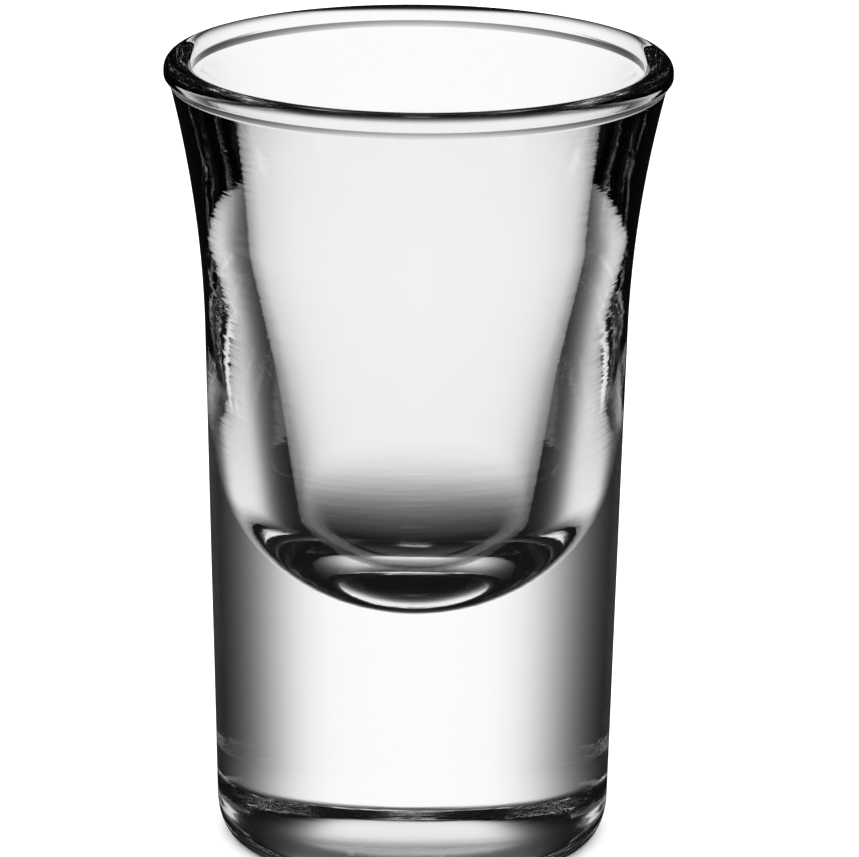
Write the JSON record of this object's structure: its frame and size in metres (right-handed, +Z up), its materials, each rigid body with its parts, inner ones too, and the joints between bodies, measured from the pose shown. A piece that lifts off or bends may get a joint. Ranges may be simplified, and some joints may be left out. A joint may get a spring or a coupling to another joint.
{
  "type": "shot glass",
  "caption": "Small clear shot glass with a thick solid base, a wall that flares to a rounded lip, and a tapered round-bottomed bowl.",
  "frame": {"origin": "centre of the underside of the foot, where the glass stands", "axes": "+Z up along the axis of the glass, towards the mouth; X and Y are level, and any direction round the axis is alike"},
  "size_m": [0.0442, 0.0442, 0.07],
  "materials": {
    "glass": "clear, smooth, fire-polished"
  },
  "bodies": {
    "root": {"glass_body": "glass"}
  },
  "joints": []
}
